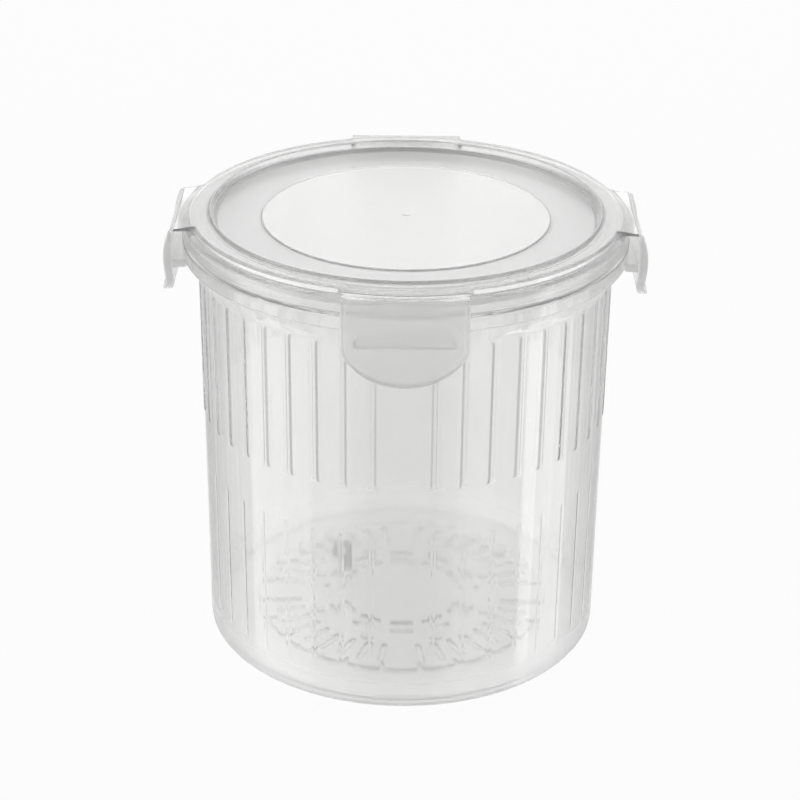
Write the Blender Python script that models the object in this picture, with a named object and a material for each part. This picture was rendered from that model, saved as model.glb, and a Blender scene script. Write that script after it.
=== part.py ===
"""Round lemon keeper: a clear jar, a lid with four hinged latches, a seal ring and a drain tray.

Every length is in metres. The jar stands on z = 0 with its axis on Z and its front latch
towards -Y. The lid is closed and all four latches hang down over the collar.
"""

import bmesh
import bpy
import numpy as np

# Clearances, and how far a joined or cutting shape runs into or past the solid it meets
fit_gap = 0.0003
overrun = 0.0005

# Jar: outside radius of the wall below the collar, height of the rim and the walls
jar_radius = 0.0520
jar_height = 0.1104
jar_wall = 0.0016
jar_draft = 0.0004
rim_round = 0.0003

# Jar base: raised floor inside a foot ring
floor_wall = 0.0012
foot_rise = 0.0004
foot_land = 0.0038
foot_round = 0.0012
inner_round = 0.0022

# Collar round the jar, which the latches catch under
collar_reach = 0.0040
collar_drop = 0.0018
collar_height = 0.0036
collar_bevel = 0.0003
collar_ledge = 0.0024
collar_root_height = 0.0030

# Upper ribs outside the wall and lower ribs inside it
rib_count = 45
rib_width = 0.0011
rib_height = 0.0005
rib_bottom = 0.0623
rib_top_gap = 0.0008
inner_rib_count = 42
inner_rib_width = 0.0009
inner_rib_height = 0.0004
inner_rib_bottom = 0.0080
inner_rib_top = 0.0484

# Seal ring between the rim and the lid
seal_height = 0.0022
seal_bevel = 0.0005

# Lid: ledge over the seal, skirt round the rim, plug ring inside it
skirt_reach = 0.0035
skirt_wall = 0.0015
skirt_gap = 0.0005
plug_clearance = 0.0010
plug_wall = 0.0015
plug_depth = 0.0034
ledge_wall = 0.0021
ledge_fall = 0.0003
ledge_inset = 0.0014
ledge_round = 0.0006
shoulder_drop = 0.0026
shoulder_height = 0.0008

# Lid panel: crest ring, sunken band and raised centre disc with its moulding mark
crest_inset = 0.0008
crest_rise = 0.0002
crest_round = 0.0009
flank_width = 0.0013
band_depth = 0.0028
panel_wall = 0.0014
disc_radius = 0.0360
disc_rise = 0.0006
disc_bevel = 0.0004
mark_radius = 0.0014
mark_height = 0.0003

# Ears of the lid, which carry the latches on thin hinge edges
ear_reach = 0.0015
ear_fillet = 0.0025
ear_edge = 0.0006
ear_lift = 0.0002

# Latches
latch_count = 4
latch_width = 0.0295
latch_length = 0.0196
latch_top_gap = 0.0002
latch_wall = 0.0017
latch_edge = 0.0004
latch_bulge = 0.00155
bead_width = 0.0012
bead_height = 0.0003
lip_height = 0.0011
hook_width = 0.0220
hook_height = 0.0021
hook_reach = 0.0018
hook_bevel = 0.0009

# Drain tray: scalloped plate on small feet, with slots and a finger lug
tray_radius = 0.0384
tray_wall = 0.0010
tray_foot_height = 0.0005
tray_foot_radius = 0.0015
tray_foot_count = 8
notch_count = 24
notch_depth = 0.0030
notch_width = 0.0016
lobe_crown = 0.0003
slot_count = 40
slot_length = 0.0070
slot_width = 0.0014
slot_web = 0.0002
spoke_count = 4
arc_slot_count = 12
arc_slot_width = 0.0011
arc_slot_length = 0.0050
lug_x = -0.0164
lug_y = 0.0104
lug_width = 0.0050
lug_loop_height = 0.0064
lug_height = 0.0097
lug_wall = 0.0014
lug_stem_width = 0.0031
lug_hole_width = 0.0018
lug_hole_height = 0.0030

# How finely the round shapes are divided
turn_steps = 64
fillet_steps = 3
arc_steps = 6
slot_steps = 2
lobe_steps = 4
smooth_angle = np.radians(40)

# The latch's side face: how far down it each point lies, and how far out, in shares of
# latch_length and latch_bulge
face_down_shares = (0.0, 0.08, 0.18, 0.30, 0.43, 0.55, 0.68, 0.78, 0.88, 0.95, 1.0)
face_out_shares = (0.0, 0.36, 0.74, 0.97, 1.0, 0.88, 0.78, 0.87, 1.2, 1.58, 1.75)
wall_down_shares = (0.0, 0.12, 0.3, 1.0)
wall_shares = (0.0, 0.6, 1.0, 1.0)
latch_straight_share = 0.51
straight_shares = (0.0, 0.08, 0.18, 0.30, 0.42, 0.51)
tip_angles = np.radians((15, 30, 45, 60, 72, 82))
lip_start_share = 0.35

# Where the tray's two rings of arc slots and its circle of feet lie, in shares of slot_inner
arc_circle_shares = (0.593, 0.735)
foot_circle_share = 0.873

# Heights and radii that the pieces share
rim_inner_radius = jar_radius - jar_wall
base_radius = jar_radius - jar_draft
floor_top = foot_rise + floor_wall
collar_radius = jar_radius + collar_reach
collar_top = jar_height - collar_drop
collar_bottom = collar_top - collar_height
collar_root = collar_bottom - collar_root_height
seal_bottom = jar_height + fit_gap
seal_top = seal_bottom + seal_height
channel_top = seal_top + fit_gap
ledge_top = channel_top + ledge_wall
skirt_radius = jar_radius + skirt_reach
skirt_inner_radius = skirt_radius - skirt_wall
skirt_bottom = collar_top + skirt_gap
ledge_radius = skirt_radius - ledge_inset
plug_radius = rim_inner_radius - plug_clearance
crest_radius = plug_radius - crest_inset
band_radius = crest_radius - flank_width
band_top = ledge_top - band_depth
ear_radius = skirt_radius + ear_reach
ear_bottom = channel_top + ear_lift
ear_top = ear_bottom + ear_edge
hinge_radius = ear_radius + fit_gap / 2
hinge_height = (ear_bottom + ear_top) / 2
latch_back_radius = ear_radius + fit_gap
latch_top = hinge_height - latch_top_gap
tray_bottom = floor_top + fit_gap + tray_foot_height
tray_top = tray_bottom + tray_wall
slot_outer = tray_radius - notch_depth - slot_web - slot_width / 2
slot_inner = slot_outer - slot_length
tray_foot_circle = foot_circle_share * slot_inner


def jar_outer_radius(height):
    """Outside radius of the tapered wall at a height."""
    return base_radius + jar_draft * height / collar_root


def arc(centre, radius, start, end, steps=fillet_steps):
    """Points on an arc from one angle to another, both ends included."""
    angles = np.linspace(start, end, steps + 1)
    return [(centre[0] + radius * np.cos(a), centre[1] + radius * np.sin(a)) for a in angles]


def finish_mesh(name, mesh_data):
    """Turn a bmesh into an object whose faces point out and whose round faces are smooth."""
    bmesh.ops.recalc_face_normals(mesh_data, faces=mesh_data.faces)
    mesh = bpy.data.meshes.new(name)
    mesh_data.to_mesh(mesh)
    mesh_data.free()
    mesh.shade_smooth()
    mesh.set_sharp_from_angle(angle=smooth_angle)
    thing = bpy.data.objects.new(name, mesh)
    bpy.context.scene.collection.objects.link(thing)
    return thing


def turned(name, profile, steps=turn_steps):
    """Turn a closed profile of (radius, height) points about Z."""
    data = bmesh.new()
    angles = np.linspace(0, 2 * np.pi, steps, endpoint=False)
    rings = []
    for radius, height in profile:
        if radius == 0:
            rings.append([data.verts.new((0, 0, height))] * steps)
        else:
            ring = [(radius * np.cos(a), radius * np.sin(a), height) for a in angles]
            rings.append([data.verts.new(point) for point in ring])
    for ring, above in zip(rings, rings[1:] + rings[:1]):
        if ring[0] is ring[1] and above[0] is above[1]:
            continue
        for i in range(steps):
            j = (i + 1) % steps
            corners = [ring[i], ring[j], above[j], above[i]]
            data.faces.new(list(dict.fromkeys(corners)))
    return finish_mesh(name, data)


def add_prism(data, outline_low, outline_high):
    """Add a closed solid between two outlines with as many points."""
    low = [data.verts.new(point) for point in outline_low]
    high = [data.verts.new(point) for point in outline_high]
    data.faces.new(low[::-1])
    data.faces.new(high)
    for i in range(len(low)):
        j = (i + 1) % len(low)
        data.faces.new([low[i], low[j], high[j], high[i]])


def as_tool(thing):
    """Mark an object as a shape that only serves another one's Boolean."""
    thing.hide_render = True
    thing.display_type = 'WIRE'
    return thing


def combine(thing, tool, operation):
    """Join a tool shape to an object or cut it out."""
    boolean = thing.modifiers.new(tool.name, 'BOOLEAN')
    boolean.operation = operation
    boolean.solver = 'EXACT'
    boolean.object = as_tool(tool)


def plastic(name, colour, roughness, transmission):
    """A see-through moulded plastic or rubber."""
    material = bpy.data.materials.new(name)
    material.use_nodes = True
    shader = material.node_tree.nodes['Principled BSDF']
    shader.inputs['Base Color'].default_value = (*colour, 1)
    shader.inputs['Roughness'].default_value = roughness
    shader.inputs['Metallic'].default_value = 0
    shader.inputs['Transmission Weight'].default_value = transmission
    return material


def rib_tool(name, count, width, inner, outer, bottom, top, skipped):
    """Upright ribs round the wall. inner and outer give a rib's radii at a height."""
    data = bmesh.new()
    for step in range(count):
        if step in skipped:
            continue
        turn = 2 * np.pi * step / count - np.pi / 2
        out = np.array((np.cos(turn), np.sin(turn), 0))
        side = np.array((-np.sin(turn), np.cos(turn), 0)) * width / 2
        up = np.array((0, 0, 1))
        ends = []
        for height in (bottom, top):
            near, far = out * inner(height) + up * height, out * outer(height) + up * height
            ends.append([near - side, far - side, far + side, near + side])
        add_prism(data, *ends)
    return finish_mesh(name, data)


def make_container():
    """The jar, with its foot, collar and ribs, as one moulding."""
    inner_base = base_radius - jar_wall
    bevel = collar_bevel
    profile = [(base_radius - foot_land - foot_rise, foot_rise), (base_radius - foot_land, 0)]
    profile += arc((base_radius - foot_round, foot_round), foot_round, -np.pi / 2, 0)
    profile += [
        (jar_radius, collar_root),
        (collar_radius - collar_ledge, collar_bottom),
        (collar_radius - bevel, collar_bottom),
        (collar_radius, collar_bottom + bevel),
        (collar_radius, collar_top - bevel),
        (collar_radius - bevel, collar_top),
        (jar_radius, collar_top),
        (jar_radius, jar_height - rim_round),
        (jar_radius - rim_round, jar_height),
        (rim_inner_radius + rim_round, jar_height),
        (rim_inner_radius, jar_height - rim_round),
    ]
    profile += arc((inner_base - inner_round, floor_top + inner_round), inner_round, 0, -np.pi / 2)
    profile += [(0, floor_top), (0, foot_rise)]
    jar = turned('container', profile)

    def wall_skin(height):
        return jar_outer_radius(height) - overrun

    def rib_crest(height):
        return jar_outer_radius(height) + rib_height

    def inner_skin(height):
        return jar_outer_radius(height) - jar_wall + overrun

    def inner_crest(height):
        return jar_outer_radius(height) - jar_wall - inner_rib_height

    upper = rib_tool('upper_rib_shapes', rib_count, rib_width, wall_skin, rib_crest,
                     rib_bottom, collar_root - rib_top_gap, (0,))
    lower = rib_tool('lower_rib_shapes', inner_rib_count, inner_rib_width, inner_crest, inner_skin,
                     inner_rib_bottom, inner_rib_top, (0,))
    combine(jar, upper, 'UNION')
    combine(jar, lower, 'UNION')
    jar.data.materials.append(plastic('clear_jar_plastic', (0.93, 0.93, 0.925), 0.08, 1.0))
    return jar


def make_seal():
    """Soft ring in the lid's channel, resting on the rim."""
    inner = plug_radius + fit_gap
    outer = skirt_inner_radius - fit_gap
    profile = [
        (inner, seal_bottom), (outer - seal_bevel, seal_bottom), (outer, seal_bottom + seal_bevel),
        (outer, seal_top - seal_bevel), (outer - seal_bevel, seal_top), (inner, seal_top),
    ]
    seal = turned('seal_gasket', profile)
    seal.data.materials.append(plastic('clear_silicone', (0.92, 0.92, 0.91), 0.35, 0.8))
    return seal


def ear_tool(turn):
    """One ear over the seal channel: wide and filleted at the ledge, thin at the hinge."""
    half = latch_width / 2
    root_half = half + ear_fillet
    root = np.sqrt(ledge_radius ** 2 - root_half ** 2)
    stations = [(root - overrun, root_half)]
    for angle in np.linspace(0, np.pi / 2, fillet_steps + 1):
        reach = root + ear_fillet * (1 - np.cos(angle))
        stations.append((reach, root_half - ear_fillet * np.sin(angle)))
    stations += [(skirt_radius, half), (ear_radius, half)]
    flat_top = ledge_top - ledge_fall - fit_gap
    flat_reach = ledge_radius - ledge_round
    out = np.array((np.cos(turn), np.sin(turn), 0))
    side = np.array((-np.sin(turn), np.cos(turn), 0))
    data = bmesh.new()
    frames = []
    for reach, wide in stations:
        slope = max(0, (reach - flat_reach) / (ear_radius - flat_reach))
        top = flat_top + (ear_top - flat_top) * slope
        frames.append([data.verts.new(out * reach + side * s * wide + np.array((0, 0, z)))
                       for s, z in ((-1, ear_bottom), (1, ear_bottom), (1, top), (-1, top))])
    data.faces.new(frames[0][::-1])
    data.faces.new(frames[-1])
    for near, far in zip(frames, frames[1:]):
        for i in range(4):
            j = (i + 1) % 4
            data.faces.new([near[i], near[j], far[j], far[i]])
    return data


def latch_turns():
    """The direction of each latch from the axis: front, right, back and left."""
    return [2 * np.pi * i / latch_count - np.pi / 2 for i in range(latch_count)]


def make_lid():
    """The lid panel with its plug ring, skirt and ears."""
    plug_inner = plug_radius - plug_wall
    crest_top = ledge_top + crest_rise
    disc_top = band_top + disc_rise
    panel_under = band_top - panel_wall
    shoulder = ledge_top - shoulder_drop
    profile = [
        (0, disc_top + mark_height),
        (mark_radius / 2, disc_top + mark_height),
        (mark_radius, disc_top),
        (disc_radius - disc_bevel, disc_top),
        (disc_radius, disc_top - disc_bevel),
        (disc_radius, band_top),
        (band_radius, band_top),
        (crest_radius - crest_round / 2, crest_top - crest_round / 2),
        (crest_radius, crest_top),
        (crest_radius + crest_round, ledge_top),
        (ledge_radius - ledge_round, ledge_top - ledge_fall),
        (ledge_radius, ledge_top - ledge_fall - ledge_round),
        (ledge_radius, shoulder + shoulder_height),
        (skirt_radius, shoulder),
        (skirt_radius, skirt_bottom),
        (skirt_inner_radius, skirt_bottom),
        (skirt_inner_radius, channel_top),
        (plug_radius, channel_top),
        (plug_radius, jar_height - plug_depth),
        (plug_inner, jar_height - plug_depth),
        (plug_inner, panel_under),
        (disc_radius, panel_under),
        (disc_radius - disc_bevel, panel_under + disc_rise),
        (0, panel_under + disc_rise),
    ]
    lid = turned('lid', profile)
    for number, turn in enumerate(latch_turns()):
        combine(lid, finish_mesh(f'ear_shape_{number}', ear_tool(turn)), 'UNION')
    lid.data.materials.append(plastic('clear_lid_plastic', (0.93, 0.93, 0.925), 0.12, 1.0))
    return lid


def latch_face(down):
    """Outer face of a latch at a share of its length: reach from the axis."""
    out = np.interp(down, face_down_shares, face_out_shares)
    return latch_back_radius + latch_edge + latch_bulge * out


def latch_back(down):
    """Inner face of a latch at a share of its length, thin at the hinge and full below."""
    wall = latch_edge + (latch_wall - latch_edge) * np.interp(down, wall_down_shares, wall_shares)
    return latch_face(down) - wall


def latch_outline(inset):
    """Half outline of a latch, drawn in by inset: (share down, half width), hinge to tip."""
    half = latch_width / 2 - inset
    tip = latch_length * (1 - latch_straight_share) - inset
    points = [(share, half) for share in straight_shares]
    for angle in tip_angles:
        down = latch_straight_share + tip * np.sin(angle) / latch_length
        points.append((down, half * np.cos(angle)))
    points.append((latch_straight_share + tip / latch_length, 0))
    return points


def edge_rise(down):
    """How proud the edge bead stands: low beside the hinge and highest at the tip's lip."""
    grow = max(0, (down - lip_start_share) / (1 - lip_start_share))
    return bead_height + (lip_height - bead_height) * grow ** 2


def hook_tool():
    """Curved hook inside a latch, which lies under the collar; bevelled below to snap over it."""
    data = bmesh.new()
    top = collar_bottom - fit_gap
    bottom = top - hook_height
    middle = (latch_top - (top + bottom) / 2) / latch_length
    back = latch_back(middle) + overrun
    outlines = []
    reach = collar_radius - hook_reach
    for height, radius in ((bottom, reach + hook_bevel), (top, reach)):
        spread = np.arcsin(hook_width / 2 / radius)
        angles = np.linspace(-spread, spread, arc_steps)
        points = [(radius * np.sin(a), -radius * np.cos(a), height) for a in angles]
        outlines.append(points + [(hook_width / 2, -back, height), (-hook_width / 2, -back, height)])
    add_prism(data, *outlines)
    return finish_mesh('hook_shape', data)


def make_latch_mesh():
    """The front latch: a curved tab with a rounded end, a raised edge bead and a hook."""
    data = bmesh.new()
    outer = latch_outline(0)
    inner = latch_outline(bead_width)
    loops = []
    for outline, reach in (
        (outer, latch_back),
        (outer, lambda down: latch_face(down) + edge_rise(down)),
        (inner, lambda down: latch_face(down) + edge_rise(down)),
        (inner, latch_face),
    ):
        rows = []
        for down, half in outline:
            height = latch_top - down * latch_length
            right = data.verts.new((half, -reach(down), height))
            left = data.verts.new((-half, -reach(down), height)) if half else right
            rows.append((right, left))
        loops.append(rows)
    for rows in (loops[0], loops[3]):
        for row, below in zip(rows, rows[1:]):
            data.faces.new(list(dict.fromkeys([row[0], row[1], below[1], below[0]])))
    for first, second in zip(loops, loops[1:]):
        for k in range(len(first) - 1):
            for hand in (0, 1):
                corners = [first[k][hand], first[k + 1][hand], second[k + 1][hand], second[k][hand]]
                data.faces.new(list(dict.fromkeys(corners)))
    top = [rows[0] for rows in loops]
    data.faces.new([pair[0] for pair in top] + [pair[1] for pair in reversed(top)])
    return finish_mesh('latch_shape', data)


def make_latches():
    """Four latches, each with its origin on its hinge line."""
    shape = make_latch_mesh()
    combine(shape, hook_tool(), 'UNION')
    bpy.context.view_layer.update()
    solid = bpy.data.meshes.new_from_object(shape.evaluated_get(bpy.context.evaluated_depsgraph_get()))
    bpy.data.objects.remove(shape)
    bpy.data.objects.remove(bpy.data.objects['hook_shape'])
    for vertex in solid.vertices:
        vertex.co.y += hinge_radius
        vertex.co.z -= hinge_height
    solid.materials.clear()
    solid.materials.append(plastic('clear_latch_plastic', (0.92, 0.92, 0.915), 0.16, 1.0))
    for name, turn in zip(('front_latch', 'right_latch', 'back_latch', 'left_latch'), latch_turns()):
        latch = bpy.data.objects.new(name, solid)
        latch.location = (hinge_radius * np.cos(turn), hinge_radius * np.sin(turn), hinge_height)
        latch.rotation_euler = (0, 0, turn + np.pi / 2)
        bpy.context.scene.collection.objects.link(latch)


def tray_outline():
    """Plan of the tray: lobes between V notches."""
    points = []
    pitch = 2 * np.pi / notch_count
    notch_half = notch_width / 2 / tray_radius
    for step in range(notch_count):
        notch = pitch * (step + 0.5)
        points.append((tray_radius - notch_depth, notch))
        for share in np.linspace(0, 1, lobe_steps):
            angle = notch + notch_half + (pitch - 2 * notch_half) * share
            points.append((tray_radius - lobe_crown * (2 * share - 1) ** 2, angle))
    return [(radius * np.cos(angle), radius * np.sin(angle)) for radius, angle in points]


def lift(outline, height):
    """Give a plan outline a height."""
    return [(x, y, height) for x, y in outline]


def slot_tool():
    """Every slot through the plate: radial ones between the spokes, and two rings of arcs."""
    data = bmesh.new()
    low, high = tray_bottom - overrun, tray_top + overrun
    for step in range(slot_count):
        if step % (slot_count // spoke_count) == 0:
            continue
        turn = 2 * np.pi * step / slot_count
        out = np.array((np.cos(turn), np.sin(turn)))
        side = np.array((-np.sin(turn), np.cos(turn))) * slot_width / 2
        round_end = np.linspace(-np.pi / 2, np.pi / 2, slot_steps + 1)
        outline = [out * (slot_outer + slot_width / 2 * np.cos(a)) + side * np.sin(a) for a in round_end]
        outline += [out * (slot_inner - slot_width / 2 * np.cos(a)) - side * np.sin(a) for a in round_end]
        add_prism(data, lift(outline, low), lift(outline, high))
    for share in arc_circle_shares:
        circle = share * slot_inner
        spread = arc_slot_length / circle / 2
        for step in range(arc_slot_count):
            turn = 2 * np.pi * step / arc_slot_count
            outline = arc((0, 0), circle + arc_slot_width / 2, turn - spread, turn + spread, slot_steps)
            outline += arc((0, 0), circle - arc_slot_width / 2, turn + spread, turn - spread, slot_steps)
            add_prism(data, lift(outline, low), lift(outline, high))
    return finish_mesh('slot_shapes', data)


def make_tray():
    """Drain tray: a slotted plate just above the jar's floor."""
    data = bmesh.new()
    outline = tray_outline()
    add_prism(data, lift(outline, tray_bottom), lift(outline, tray_top))
    tray = finish_mesh('drain_tray', data)
    combine(tray, slot_tool(), 'DIFFERENCE')

    added = bmesh.new()
    for step in range(tray_foot_count):
        turn = 2 * np.pi * (step + 0.5) / tray_foot_count
        centre = (tray_foot_circle * np.cos(turn), tray_foot_circle * np.sin(turn))
        disc = arc(centre, tray_foot_radius, 0, 2 * np.pi, arc_steps)[:-1]
        add_prism(added, lift(disc, tray_bottom - tray_foot_height), lift(disc, tray_bottom + tray_wall / 2))
    half = lug_width / 2
    loop_half = lug_loop_height / 2
    loop_centre = tray_top + lug_height - loop_half
    stem_left = lug_x + half - lug_stem_width
    meet = np.arccos((stem_left - lug_x) / half)
    angles = np.linspace(-meet, -2 * np.pi, 3 * arc_steps)
    lug = [(lug_x + half, tray_bottom + tray_wall / 2), (stem_left, tray_bottom + tray_wall / 2)]
    lug += [(lug_x + half * np.cos(a), loop_centre + loop_half * np.sin(a)) for a in angles]
    near, far = lug_y - lug_wall / 2, lug_y + lug_wall / 2
    add_prism(added, [(x, far, z) for x, z in lug], [(x, near, z) for x, z in lug])
    combine(tray, finish_mesh('foot_and_lug_shapes', added), 'UNION')

    hole = bmesh.new()
    angles = np.linspace(0, 2 * np.pi, 2 * arc_steps, endpoint=False)
    hole_half = lug_hole_height / 2
    ring = [(lug_x + lug_hole_width / 2 * np.cos(a), loop_centre + hole_half * np.sin(a))
            for a in angles]
    near, far = near - overrun, far + overrun
    add_prism(hole, [(x, far, z) for x, z in ring], [(x, near, z) for x, z in ring])
    combine(tray, finish_mesh('lug_hole_shape', hole), 'DIFFERENCE')
    tray.data.materials.append(plastic('clear_tray_plastic', (0.92, 0.92, 0.915), 0.1, 1.0))
    return tray


def main():
    for thing in list(bpy.data.objects):
        bpy.data.objects.remove(thing)
    make_container()
    make_seal()
    make_lid()
    make_latches()
    make_tray()


main()
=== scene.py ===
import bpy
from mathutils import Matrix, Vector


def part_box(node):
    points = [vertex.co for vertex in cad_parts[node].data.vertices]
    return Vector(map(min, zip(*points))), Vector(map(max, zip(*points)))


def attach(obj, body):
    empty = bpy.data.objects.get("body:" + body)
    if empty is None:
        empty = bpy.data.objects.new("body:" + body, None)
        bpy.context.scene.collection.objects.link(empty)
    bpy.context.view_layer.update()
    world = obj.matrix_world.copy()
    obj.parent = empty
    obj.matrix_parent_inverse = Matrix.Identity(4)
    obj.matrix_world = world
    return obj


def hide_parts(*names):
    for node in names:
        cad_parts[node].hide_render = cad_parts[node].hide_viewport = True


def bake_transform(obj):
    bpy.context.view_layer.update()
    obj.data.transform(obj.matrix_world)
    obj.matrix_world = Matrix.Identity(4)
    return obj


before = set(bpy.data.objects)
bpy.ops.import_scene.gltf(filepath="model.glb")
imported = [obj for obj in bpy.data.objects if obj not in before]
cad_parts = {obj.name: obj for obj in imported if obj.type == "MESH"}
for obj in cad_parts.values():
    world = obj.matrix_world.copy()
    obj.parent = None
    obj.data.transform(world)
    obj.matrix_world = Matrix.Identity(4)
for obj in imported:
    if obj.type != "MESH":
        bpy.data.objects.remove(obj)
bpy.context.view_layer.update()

import math

import bmesh
import bpy
import numpy as np
from bpy.props import FloatProperty, FloatVectorProperty, IntProperty, PointerProperty
from bpy.types import Operator, Panel, PropertyGroup
from mathutils import Matrix, Vector

bl_info = {
    "name": "Clear Round Keeper",
    "version": (1, 0, 0),
    "blender": (4, 5, 0),
    "location": "View3D > Sidebar > Keeper",
    "description": "Dresses a clear round keeper: ribbed jar, latched lid, seal ring and drain tray",
    "category": "Add Mesh",
}

# Places that come from the solids, in metres
JAR_LOW, JAR_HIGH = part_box("container")
LID_LOW, LID_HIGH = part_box("lid")
SEAL_LOW, SEAL_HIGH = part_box("seal_gasket")
TAB_LOW, TAB_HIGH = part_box("front_latch")
TRAY_LOW, TRAY_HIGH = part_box("drain_tray")
MM = 0.001

# Latch names, the bodies they ride on and the directions they face
LATCHES = (
    ("front_latch", "front_tab", -math.pi / 2),
    ("right_latch", "right_tab", 0.0),
    ("back_latch", "back_tab", math.pi / 2),
    ("left_latch", "left_tab", math.pi),
)


def length(name, description, default):
    """A size in metres for the sidebar."""
    return FloatProperty(name=name, description=description, default=default, min=0.0,
                         unit='LENGTH', precision=5)


def share(name, description, default, top=1.0):
    """A plain factor for the sidebar."""
    return FloatProperty(name=name, description=description, default=default, min=0.0, max=top)


def tint(name, description, default):
    """A plastic's colour for the sidebar."""
    return FloatVectorProperty(name=name, description=description, default=default, size=3,
                               min=0.0, max=1.0, subtype='COLOR')


class KEEPER_PG_jar(PropertyGroup):
    """Sizes of the jar."""
    wall_radius: length("Wall radius", "Outside radius of the wall below the collar", 0.0520)
    wall: length("Wall", "Thickness of the wall", 0.0016)
    draft: length("Draft", "How much narrower the wall is at its foot", 0.0004)
    floor: length("Floor", "Height of the inside floor", 0.0016)
    foot_rise: length("Foot rise", "Height of the middle over the table", 0.0004)
    foot_land: length("Foot width", "Width of the foot ring", 0.0038)
    foot_round: length("Foot rounding", "Rounding of the outer bottom edge", 0.0012)
    inner_round: length("Floor fillet", "Rounding between floor and wall", 0.0022)
    collar_top: length("Collar top", "Height of the collar's top", 0.1086)
    collar_bottom: length("Collar bottom", "Height of the collar's underside", 0.1050)
    collar_ledge: length("Collar ledge", "Width of the collar's underside", 0.0024)
    collar_root: length("Collar root", "Height where the wall starts to widen", 0.1012)
    rib_count: IntProperty(name="Upper ribs", description="Places round the wall for outside ribs",
                           default=45, min=3)
    rib_width: length("Rib width", "Width of an outside rib", 0.0011)
    rib_height: length("Rib height", "How far an outside rib stands out", 0.00025)
    rib_bottom: length("Rib bottom", "Height where the outside ribs end", 0.0623)
    panel_top: length("Panel top", "Height where the fields between the ribs end", 0.1001)
    panel_corner: length("Panel corner", "Rounding of the fields' upper corners", 0.0013)
    inner_count: IntProperty(name="Lower ribs", description="Places round the wall for inside ribs",
                             default=42, min=3)
    inner_width: length("Inner rib width", "Width of an inside rib", 0.0009)
    inner_height: length("Inner rib height", "How far an inside rib stands in", 0.00007)
    inner_bottom: length("Inner rib bottom", "Height where the inside ribs start", 0.0080)
    inner_top: length("Inner rib top", "Height where the inside ribs end", 0.0484)


class KEEPER_PG_lid(PropertyGroup):
    """Sizes of the lid and its seal ring."""
    disc_radius: length("Disc radius", "Radius of the raised centre disc", 0.0360)
    disc_rise: length("Disc rise", "Height of the disc over the sunken band", 0.0004)
    band_radius: length("Band radius", "Outer radius of the sunken band", 0.0473)
    band_top: length("Band height", "Height of the sunken band", 0.1125)
    crest_radius: length("Crest radius", "Radius of the crest ring", 0.0486)
    crest_step: length("Crest step", "Depth of the ledge's start beside the crest", 0.0005)
    ledge_top: length("Ledge height", "Height of the ledge outside the crest", 0.1153)
    ledge_radius: length("Ledge radius", "Outside radius of the ledge", 0.0541)
    ledge_fall: length("Ledge fall", "How much lower the ledge's edge is", 0.0003)
    skirt_radius: length("Skirt radius", "Outside radius of the skirt", 0.0555)
    skirt_wall: length("Skirt wall", "Thickness of the skirt", 0.0015)
    skirt_bottom: length("Skirt bottom", "Height of the skirt's lower edge", 0.1091)
    shoulder: length("Shoulder", "Height of the skirt's shoulder", 0.1127)
    channel_top: length("Channel top", "Height of the seal channel's roof", 0.1132)
    plug_radius: length("Plug radius", "Outside radius of the ring inside the rim", 0.0494)
    plug_wall: length("Plug wall", "Thickness of that ring", 0.0015)
    plug_bottom: length("Plug bottom", "Height of that ring's lower edge", 0.1070)
    panel_wall: length("Panel wall", "Thickness of the lid's panel", 0.0014)
    mark_radius: length("Mark radius", "Radius of the moulding mark in the middle", 0.0014)
    mark_height: length("Mark height", "Height of the moulding mark", 0.0001)
    ear_width: length("Ear width", "Width of an ear at its hinge", 0.0295)
    ear_fillet: length("Ear fillet", "Rounding where an ear leaves the ledge", 0.0025)
    ear_bottom: length("Ear underside", "Height of an ear's underside", 0.1134)
    ear_edge: length("Ear edge", "Thickness of an ear at its hinge", 0.0006)


class KEEPER_PG_latch(PropertyGroup):
    """Sizes of the latches."""
    width: length("Width", "Width of a latch", 0.0295)
    wall: length("Wall", "Thickness of a latch", 0.0017)
    edge: length("Hinge edge", "Thickness at the hinge", 0.0004)
    back_radius: length("Back", "Distance of a latch's back from the axis at the hinge", 0.0573)
    bulge: length("Bulge", "How far the middle bulges out", 0.00155)
    bead_width: length("Bead width", "Width of the raised edge", 0.0012)
    bead_height: length("Bead height", "Height of the raised edge beside the hinge", 0.0003)
    lip_height: length("Lip height", "Height of the raised edge at the tip", 0.0005)
    straight: share("Straight share", "Share of the length with straight sides", 0.51)
    edge_round: length("Edge rounding", "Rounding of the outline", 0.00045)
    hook_width: length("Hook width", "Width of the hook", 0.0220)
    hook_top: length("Hook top", "Height of the hook's top", 0.1047)
    hook_bottom: length("Hook bottom", "Height of the hook's lower edge", 0.1026)
    hook_radius: length("Hook radius", "Distance of the hook's inner face from the axis", 0.0542)
    hook_bevel: length("Hook bevel", "Slant of the hook's lower edge", 0.0014)


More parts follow.
